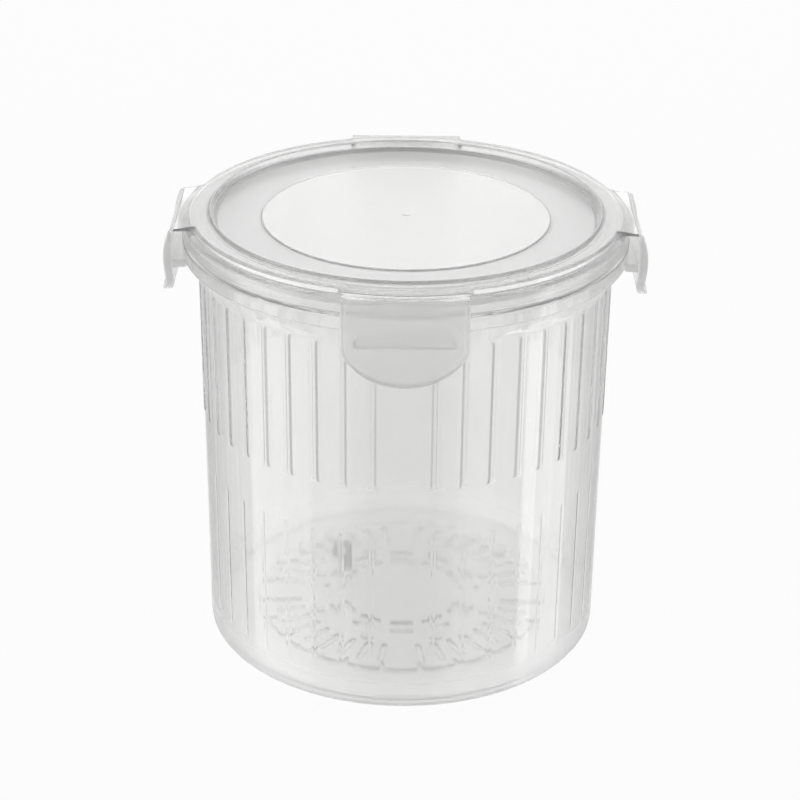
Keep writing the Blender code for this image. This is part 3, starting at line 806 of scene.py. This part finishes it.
class KEEPER_OT_seal(Operator):
    """Make the soft clear seal ring in the lid's channel"""
    bl_idname = "keeper.seal"
    bl_label = "Seal ring"

    def execute(self, context):
        lid = context.scene.keeper_lid
        low, high = SEAL_LOW[2], SEAL_HIGH[2]
        inner, outer = lid.plug_radius + 0.0003, SEAL_HIGH[0]
        groove = (inner + outer) / 2
        profile = rounded([
            (inner, low, 0.0004), (outer, low, 0.0006), (outer, high, 0.0006),
            (groove + 0.0006, high, 0.0002), (groove, high - 0.0004, 0.0003),
            (groove - 0.0006, high, 0.0002), (inner, high, 0.0006),
        ])
        angles = np.linspace(0, 2 * np.pi, 240, endpoint=False)
        ring = surface("seal_ring", [(turned(profile, angles), True, True)])
        dress(ring, "clear_silicone", "closing_lid", "seal_gasket")
        return {'FINISHED'}


# The latches

FACE_DOWN = (0.0, 0.08, 0.18, 0.30, 0.43, 0.55, 0.68, 0.78, 0.88, 0.95, 1.0)
FACE_OUT = (0.0, 0.36, 0.74, 0.97, 1.0, 0.88, 0.78, 0.9, 1.3, 1.76, 2.0)
WALL_DOWN = (0.0, 0.12, 0.3, 1.0)
WALL_SHARE = (0.0, 0.6, 1.0, 1.0)


def latch_grid(latch):
    """Closed cross-sections of a latch, one for each height from hinge to tip.

    The outline has straight sides down to the straight share, and half an ellipse below. With d
    the way in from the outline, the front stands out by the bulge curve at that height plus a
    bead of bead width, and both faces turn in over d < round as a quarter circle does. The back
    lies a wall behind the front. The hook is pushed out of the back to its own radius about Z,
    where |x| is under half its width and the height is between its top and bottom."""
    top, tip = TAB_HIGH[2], TAB_LOW[2]
    size, half = top - tip, latch.width / 2
    drop = size * (1 - latch.straight)
    middle = top - size * latch.straight
    hook = np.concatenate((latch.hook_top + np.array((0.12, 0.04, 0, -0.04, -0.12, -0.4, -0.9)) * MM,
                           latch.hook_bottom + np.array((0.6, 0.2, 0.04, 0, -0.04, -0.12)) * MM))
    heights = np.concatenate((top - size * np.array((0, 0.006, 0.015, 0.025)),
                              np.linspace(top - 0.04 * size, middle, 24), hook,
                              middle - drop * np.sin(np.linspace(0, np.pi / 2, 30)[1:])))
    heights = np.unique(np.round(heights, 7))[::-1]
    below = np.clip((middle - heights) / drop, 0, 1)
    wide = np.maximum(half * np.sqrt(1 - below ** 2), 1e-7)
    share = (top - heights) / size
    side = latch.hook_width / 2 / half
    ticks = np.unique(np.concatenate((
        (0, 0.12, 0.25, 0.38, 0.5, 0.62, 0.7), side + np.array((-0.008, -0.002, 0.002, 0.008, 0.03)),
        (0.82, 0.86, 0.885, 0.9, 0.913, 0.925, 0.937, 0.95, 0.962, 0.973, 0.982, 0.99, 0.996, 1))))
    ticks = np.concatenate((-ticks[:0:-1], ticks))
    x = wide[:, None] * ticks[None, :]
    z = heights[:, None] + 0 * x
    g = np.sqrt((x / half) ** 2 + (np.clip(middle - z, 0, None) / drop) ** 2)
    slope = np.hypot(x / half ** 2, np.clip(middle - z, 0, None) / drop ** 2) / np.maximum(g, 1e-6)
    inset = np.where(z > middle, half - np.abs(x), (1 - g) / np.maximum(slope, 1e-6))
    inset = np.clip(inset, 0, None)
    wall = latch.edge + (latch.wall - latch.edge) * np.interp(share, WALL_DOWN, WALL_SHARE)[:, None]
    face = latch.back_radius + latch.edge + latch.bulge * eased(share, FACE_DOWN, FACE_OUT)[:, None]
    grow = np.clip((share - 0.35) / 0.65, 0, 1)[:, None] ** 2
    bead = latch.bead_height + (latch.lip_height - latch.bead_height) * grow
    bead = bead * (1 - smooth_step(latch.bead_width * 0.7, latch.bead_width * 1.15, inset))
    turn_in = np.minimum(latch.edge_round, wall * 0.45)
    from_edge = np.minimum(inset, top - z + 0.25 * turn_in)
    short = np.clip(turn_in - from_edge, 0, None)
    round_off = turn_in - np.sqrt(np.clip(turn_in ** 2 - short ** 2, 0, None))
    front = face + bead - round_off
    back = face - wall + round_off
    step = 0.00005
    in_hook = (1 - smooth_step(latch.hook_top - step, latch.hook_top, z)) * smooth_step(
        latch.hook_bottom - step, latch.hook_bottom, z)
    in_hook *= 1 - smooth_step(latch.hook_width / 2, latch.hook_width / 2 + 4 * step, np.abs(x))
    rise = np.clip((z - latch.hook_bottom) / (latch.hook_top - latch.hook_bottom), 0, 1)
    slant = latch.hook_bevel * (1 - rise)
    aside = np.minimum(np.abs(x), latch.hook_width / 2 + 0.001)
    hook_face = np.sqrt((latch.hook_radius + slant) ** 2 - aside ** 2)
    back = back + (hook_face - back) * in_hook
    across = np.hstack((x, x[:, ::-1]))
    outward = np.hstack((front, back[:, ::-1]))
    return across, outward, np.hstack((z, z))


class KEEPER_OT_latches(Operator):
    """Make the four hinged latches with their bead, lip and hook"""
    bl_idname = "keeper.latches"
    bl_label = "Latches"

    def execute(self, context):
        across, outward, height = latch_grid(context.scene.keeper_latch)
        for name, body, turn in LATCHES:
            points = facing(turn, across, outward, height)
            tab = surface(name + "_tab", [(points, False, True)])
            dress(tab, "clear_latch_plastic", body, name)
        return {'FINISHED'}


class KEEPER_OT_hinges(Operator):
    """Make the thin hinge webs between the lid's ears and the latches"""
    bl_idname = "keeper.hinges"
    bl_label = "Hinge webs"

    def execute(self, context):
        latch = context.scene.keeper_latch
        half = latch.width / 2 - 0.00005
        # The web's middle line is a quadratic curve root(1-t)^2 + 2 bend t(1-t) + tip t^2, in
        # distance from the axis and height, and its two faces lie half the thickness to either side
        root, bend, tip = np.array(((0.05680, 0.11370), (0.05748, 0.11372), (0.05750, 0.11318)))
        t = np.linspace(0, 1, 13)[:, None]
        line = root * (1 - t) ** 2 + 2 * bend * t * (1 - t) + tip * t ** 2
        slope = np.gradient(line, axis=0)
        normal = np.stack((-slope[:, 1], slope[:, 0]), axis=-1)
        normal /= np.linalg.norm(normal, axis=1, keepdims=True)
        half_thick = 0.00015
        ring = np.concatenate((line + half_thick * normal, (line - half_thick * normal)[::-1]))
        x = np.array((-1, -0.995, -0.9, -0.5, 0, 0.5, 0.9, 0.995, 1)) * half
        across = x[:, None] + 0 * ring[None, :, 0]
        outward = ring[None, :, 0] + 0 * across
        height = ring[None, :, 1] + 0 * across
        for name, body, turn in LATCHES:
            web = surface(name + "_web", [(facing(turn, across, outward, height), False, True)])
            dress(web, "clear_latch_plastic", None)
            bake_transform(web)
        return {'FINISHED'}


# The drain tray

def plate(name, outlines, thickness, bevel):
    """A flat plate from closed outlines in the XY plane: the first is its edge and the others are
    holes. Its thickness is centred on z = 0 and its edges are rounded."""
    curve = bpy.data.curves.new(name, 'CURVE')
    curve.dimensions = '2D'
    curve.fill_mode = 'BOTH'
    curve.extrude = thickness / 2 - bevel
    curve.bevel_depth = bevel
    curve.bevel_resolution = 3
    curve.offset = -bevel
    for outline in outlines:
        spline = curve.splines.new('POLY')
        spline.points.add(len(outline) - 1)
        flat = np.hstack((outline, np.zeros((len(outline), 1)), np.ones((len(outline), 1))))
        spline.points.foreach_set("co", flat.ravel())
        spline.use_cyclic_u = True
    holder = bpy.data.objects.new(name + "_curve", curve)
    bpy.context.scene.collection.objects.link(holder)
    bpy.context.view_layer.update()
    mesh = bpy.data.meshes.new_from_object(holder.evaluated_get(bpy.context.evaluated_depsgraph_get()))
    bpy.data.objects.remove(holder)
    data = bmesh.new()
    data.from_mesh(mesh)
    bmesh.ops.remove_doubles(data, verts=data.verts, dist=2e-6)
    bmesh.ops.recalc_face_normals(data, faces=data.faces)
    data.to_mesh(mesh)
    data.free()
    return mesh


def stadium(centre, direction, low, high, width, steps=6):
    """Outline of a slot with round ends, along a direction from low to high."""
    side = np.array((-direction[1], direction[0])) * width / 2
    angles = np.linspace(-np.pi / 2, np.pi / 2, steps + 1)[:, None]
    near = centre + direction * (low - width / 2 * np.cos(angles)) - side * np.sin(angles)
    far = centre + direction * (high + width / 2 * np.cos(angles)) + side * np.sin(angles)
    return np.concatenate((far, near))


def arc_slot(circle, turn, spread, width, steps=10):
    """Outline of a slot bent round the axis, with round ends."""
    along = np.linspace(-spread, spread, steps)
    caps = np.linspace(-np.pi / 2, np.pi / 2, 6)[1:-1]
    polar = [(circle + width / 2, a) for a in along]
    polar += [(circle - width / 2 * math.sin(c), spread + width / 2 * math.cos(c) / circle) for c in caps]
    polar += [(circle - width / 2, a) for a in along[::-1]]
    polar += [(circle + width / 2 * math.sin(c), -spread - width / 2 * math.cos(c) / circle) for c in caps]
    return np.array([(r * math.cos(turn + a), r * math.sin(turn + a)) for r, a in polar])


def join(name, meshes):
    """One object from several meshes."""
    data = bmesh.new()
    for mesh in meshes:
        data.from_mesh(mesh)
        bpy.data.meshes.remove(mesh)
    mesh = bpy.data.meshes.new(name)
    data.to_mesh(mesh)
    data.free()
    smooth(mesh)
    thing = bpy.data.objects.new(name, mesh)
    bpy.context.scene.collection.objects.link(thing)
    return thing


class KEEPER_OT_tray(Operator):
    """Make the slotted drain tray with its feet and finger lug"""
    bl_idname = "keeper.tray"
    bl_label = "Drain tray"

    def execute(self, context):
        tray = context.scene.keeper_tray
        # The rim: lobes with a slight crown between V notches
        pitch = 2 * np.pi / tray.notch_count
        half_notch = tray.notch_width / 2 / tray.radius
        lobe = np.linspace(0, 1, 9)
        notches = pitch * (np.arange(tray.notch_count) + 0.5)
        angles = np.concatenate([np.concatenate(((a,), a + half_notch + (pitch - 2 * half_notch) * lobe))
                                 for a in notches])
        radii = np.tile(np.concatenate(((tray.radius - tray.notch_depth,),
                                        tray.radius - 0.0003 * (2 * lobe - 1) ** 2)), tray.notch_count)
        outlines = [np.stack((radii * np.cos(angles), radii * np.sin(angles)), axis=-1)]
        for step in range(tray.slot_count):
            if step % (tray.slot_count // 4):
                turn = 2 * math.pi * step / tray.slot_count
                out = np.array((math.cos(turn), math.sin(turn)))
                outlines.append(stadium(np.zeros(2), out, tray.slot_inner, tray.slot_outer,
                                        tray.slot_width))
        for circle in (0.593 * tray.slot_inner, 0.735 * tray.slot_inner):
            for step in range(tray.arc_count):
                outlines.append(arc_slot(circle, 2 * math.pi * step / tray.arc_count,
                                         tray.arc_length / circle / 2, tray.arc_width))
        disc = plate("tray_disc", outlines, tray.top - tray.bottom, 0.00015)
        disc.transform(Matrix.Translation((0, 0, (tray.top + tray.bottom) / 2)))
        feet = []
        foot = rounded([(0, TRAY_LOW[2], 0), (tray.foot_radius, TRAY_LOW[2], 0.0003),
                        (tray.foot_radius, tray.bottom + 0.0001, 0), (0, tray.bottom + 0.0001, 0)])
        for step in range(8):
            turn = 2 * math.pi * (step + 0.5) / 8
            points = turned(foot, np.linspace(0, 2 * np.pi, 20, endpoint=False))
            points += np.array((tray.foot_circle * math.cos(turn), tray.foot_circle * math.sin(turn), 0))
            piece = surface("tray_foot", [(points, False, True)])
            feet.append(piece.data)
            bpy.data.objects.remove(piece)
        half, loop_half = tray.lug_width / 2, tray.lug_loop / 2
        loop = tray.lug_height - loop_half
        stem = half - tray.lug_stem
        meet = math.acos(stem / half)
        turns = np.linspace(-meet, -2 * np.pi, 40)
        edge = np.concatenate((((half, 0), (stem, 0)),
                               np.stack((half * np.cos(turns), loop + loop_half * np.sin(turns)), axis=-1)))
        turns = np.linspace(0, 2 * np.pi, 24, endpoint=False)
        hole = np.stack((0.0009 * np.cos(turns), loop + 0.0015 * np.sin(turns)), axis=-1)
        lug = plate("tray_lug", [edge, hole], tray.lug_wall, 0.0006)
        foot_of_lug = Matrix.Translation((tray.lug_x, tray.lug_y, tray.top))
        lug.transform(foot_of_lug @ Matrix.Rotation(math.pi / 2, 4, 'X'))
        thing = join("tray_plate", [disc, lug] + feet)
        dress(thing, "clear_tray_plastic", "tray", "drain_tray")
        return {'FINISHED'}


# The stage

def add_lamp(name, azimuth, rise, distance, size, glow):
    """A soft rectangular lamp that faces the jar. azimuth runs from the front towards the right, and
    glow is how bright its face is; a lamp of power P and area A has the face P / (pi A)."""
    light = bpy.data.lights.new(name, 'AREA')
    light.shape = 'RECTANGLE'
    light.size, light.size_y = size
    light.energy = glow * math.pi * size[0] * size[1]
    lamp = bpy.data.objects.new(name, light)
    lamp.visible_camera = False
    lamp.visible_transmission = False
    bpy.context.scene.collection.objects.link(lamp)
    turn, up = math.radians(azimuth), math.radians(rise)
    away = Vector((math.sin(turn) * math.cos(up), -math.cos(turn) * math.cos(up), math.sin(up)))
    middle = Vector((0, 0, JAR_HIGH[2] / 2))
    facing_in = (-away).to_track_quat('-Z', 'Y').to_matrix().to_4x4()
    lamp.matrix_world = Matrix.Translation(middle + away * distance) @ facing_in
    return lamp


def any_of(tree, names):
    """1 where a ray is of one of the named kinds, and 0 elsewhere."""
    path = node(tree, 'ShaderNodeLightPath', (-1100, 300))
    largest = (path, names[0])
    for name in names[1:]:
        largest = maths(tree, 'MAXIMUM', largest, (path, name))
    return largest


class KEEPER_OT_stage(Operator):
    """Make the pale floor, the plain backdrop, the soft lamps and the camera"""
    bl_idname = "keeper.stage"
    bl_label = "Stage"

    def execute(self, context):
        scene = context.scene
        pale = scene.keeper_look.backdrop
        mesh = bpy.data.meshes.new("floor")
        mesh.from_pydata([(-3, -3, 0), (3, -3, 0), (3, 3, 0), (-3, 3, 0)], [], [(0, 1, 2, 3)])
        floor = bpy.data.objects.new("floor", mesh)
        scene.collection.objects.link(floor)
        paper = bpy.data.materials.new("pale_floor")
        paper.use_nodes = True
        tree = paper.node_tree
        tree.nodes.clear()
        path = node(tree, 'ShaderNodeLightPath', (-600, 300))
        share_of = node(tree, 'ShaderNodeMath', (-300, 300), operation='MULTIPLY')
        share_of.inputs[1].default_value = 0.95
        link(tree, path, "Is Camera Ray", share_of, 0)
        matt = node(tree, 'ShaderNodeBsdfDiffuse', (-300, 0))
        matt.inputs["Color"].default_value = (0.9, 0.9, 0.9, 1)
        glow = node(tree, 'ShaderNodeEmission', (-300, -200))
        glow.inputs["Color"].default_value = (*pale, 1)
        both = node(tree, 'ShaderNodeMixShader', (0, 0))
        link(tree, share_of, "Value", both, "Fac")
        link(tree, matt, "BSDF", both, 1)
        link(tree, glow, "Emission", both, 2)
        # Reflections and glass look past the floor to the backdrop, and lamps shine up through it
        past = node(tree, 'ShaderNodeBsdfTransparent', (0, -200))
        seen_through = any_of(tree, ("Is Glossy Ray", "Is Transmission Ray", "Is Shadow Ray"))
        open_floor = node(tree, 'ShaderNodeMixShader', (200, 0))
        link(tree, *seen_through, open_floor, "Fac")
        link(tree, both, "Shader", open_floor, 1)
        link(tree, past, "BSDF", open_floor, 2)
        out = node(tree, 'ShaderNodeOutputMaterial', (400, 0))
        link(tree, open_floor, "Shader", out, "Surface")
        mesh.materials.append(paper)

        world = bpy.data.worlds.new("backdrop")
        scene.world = world
        world.use_nodes = True
        tree = world.node_tree
        tree.nodes.clear()
        # What glass and gloss see: eight bright sides with greyer gaps between them. With x and y
        # level and q = (x y / (x^2 + y^2))^2, q - 4 q^2 is sin^2 of four times the azimuth, over 16.
        # It is greyer straight overhead too, darkest on the camera's side, where the room is dark,
        # and a little grey at the back's flanks, which the wall's edges mirror
        place = node(tree, 'ShaderNodeTexCoord', (-1500, 0))
        parts = node(tree, 'ShaderNodeSeparateXYZ', (-1350, 0))
        link(tree, place, "Generated", parts, "Vector")
        across, along, up = (parts, "X"), (parts, "Y"), (parts, "Z")
        sum_of = maths(tree, 'ADD', maths(tree, 'MULTIPLY', across, across),
                       maths(tree, 'MULTIPLY', along, along))
        share_of = maths(tree, 'DIVIDE', maths(tree, 'MULTIPLY', across, along), sum_of)
        q = maths(tree, 'MULTIPLY', share_of, share_of)
        gaps = maths(tree, 'SUBTRACT', q, maths(tree, 'MULTIPLY', maths(tree, 'MULTIPLY', q, q), 4.0))
        gaps = maths(tree, 'MULTIPLY', gaps, ramp(tree, up, -0.75, -0.55, 0.0, 1.0))
        path = node(tree, 'ShaderNodeLightPath', (-1350, 300))
        gaps = maths(tree, 'MULTIPLY', gaps, (path, "Is Transmission Ray"))
        level = maths(tree, 'MULTIPLY', ramp(tree, gaps, 0.014, 0.045, 1.15, 0.68),
                      ramp(tree, up, 0.6, 0.95, 1.0, 0.6))
        # Towards the front or back: -1 straight at the camera's side, 0 at the sides, 1 behind
        front = maths(tree, 'MULTIPLY', along, maths(tree, 'ABSOLUTE', along))
        front = maths(tree, 'DIVIDE', front, sum_of)
        shade = ramp(tree, front, -0.9, -0.72, 0.75, 0.0)
        flank = maths(tree, 'MULTIPLY', ramp(tree, front, 0.1, 0.4, 0.0, 0.26),
                      ramp(tree, front, 0.85, 0.97, 1.0, 0.0))
        shade = maths(tree, 'MAXIMUM', shade, maths(tree, 'MULTIPLY', flank, (path, "Is Glossy Ray")))
        level = maths(tree, 'MULTIPLY', level, maths(tree, 'SUBTRACT', 1.0, shade))
        studio = node(tree, 'ShaderNodeBackground', (50, -100))
        link(tree, *level, studio, "Strength")
        glass_or_gloss = any_of(tree, ("Is Glossy Ray", "Is Transmission Ray"))
        fill = node(tree, 'ShaderNodeBackground', (50, 100))
        fill.inputs["Strength"].default_value = 0.85
        lit = node(tree, 'ShaderNodeMixShader', (250, 0))
        link(tree, *glass_or_gloss, lit, "Fac")
        link(tree, fill, "Background", lit, 1)
        link(tree, studio, "Background", lit, 2)
        white = node(tree, 'ShaderNodeBackground', (250, -200))
        white.inputs["Color"].default_value = (*pale, 1)
        both = node(tree, 'ShaderNodeMixShader', (450, 0))
        path = node(tree, 'ShaderNodeLightPath', (250, 300))
        link(tree, path, "Is Camera Ray", both, "Fac")
        link(tree, lit, "Shader", both, 1)
        link(tree, white, "Background", both, 2)
        out = node(tree, 'ShaderNodeOutputWorld', (650, 0))
        link(tree, both, "Shader", out, "Surface")

        add_lamp("left_softbox", -73, -12, 0.8, (0.55, 1.1), 1.0)
        add_lamp("right_strip", 74, -12, 0.8, (0.11, 1.1), 1.7)
        add_lamp("right_softbox", 90, -12, 0.85, (0.4, 1.1), 0.9)
        add_lamp("back_softbox", 180, 30, 0.9, (1.2, 0.5), 0.65)

        camera_data = bpy.data.cameras.new("camera")
        camera_data.lens = 94.7
        camera_data.sensor_width = 36.0
        camera_data.clip_start = 0.01
        camera_data.clip_end = 20.0
        camera = bpy.data.objects.new("camera", camera_data)
        scene.collection.objects.link(camera)
        camera.matrix_world = (Matrix.Translation((-0.0010, -0.4930, 0.3037))
                               @ Matrix.Rotation(math.radians(63.796), 4, 'X')
                               @ Matrix.Rotation(math.radians(0.638), 4, 'Z'))
        scene.camera = camera
        scene.view_settings.view_transform = 'Standard'
        scene.cycles.max_bounces = 32
        scene.cycles.transmission_bounces = 32
        scene.cycles.transparent_max_bounces = 32
        scene.cycles.glossy_bounces = 8
        return {'FINISHED'}


OPERATORS = (KEEPER_OT_jar, KEEPER_OT_lid, KEEPER_OT_seal, KEEPER_OT_latches, KEEPER_OT_hinges,
             KEEPER_OT_tray, KEEPER_OT_stage)


class KEEPER_PT_sidebar(Panel):
    """Sidebar panel that makes each piece"""
    bl_idname = "KEEPER_PT_sidebar"
    bl_label = "Clear Keeper"
    bl_space_type = 'VIEW_3D'
    bl_region_type = 'UI'
    bl_category = "Keeper"

    def draw(self, context):
        for name, group in GROUPS.items():
            box = self.layout.box()
            box.label(text=group.__doc__)
            for prop in group.__annotations__:
                box.prop(getattr(context.scene, name), prop)
        for kind in OPERATORS:
            self.layout.operator(kind.bl_idname)


def register():
    for kind in (*GROUPS.values(), *OPERATORS, KEEPER_PT_sidebar):
        bpy.utils.register_class(kind)
    for name, kind in GROUPS.items():
        setattr(bpy.types.Scene, name, PointerProperty(type=kind))


def unregister():
    for name in GROUPS:
        delattr(bpy.types.Scene, name)
    for kind in (KEEPER_PT_sidebar, *OPERATORS[::-1], *list(GROUPS.values())[::-1]):
        bpy.utils.unregister_class(kind)


def main():
    register()
    bpy.ops.keeper.jar()
    bpy.ops.keeper.lid()
    bpy.ops.keeper.seal()
    bpy.ops.keeper.latches()
    bpy.ops.keeper.hinges()
    bpy.ops.keeper.tray()
    bpy.ops.keeper.stage()


if __name__ == "__main__":
    main()
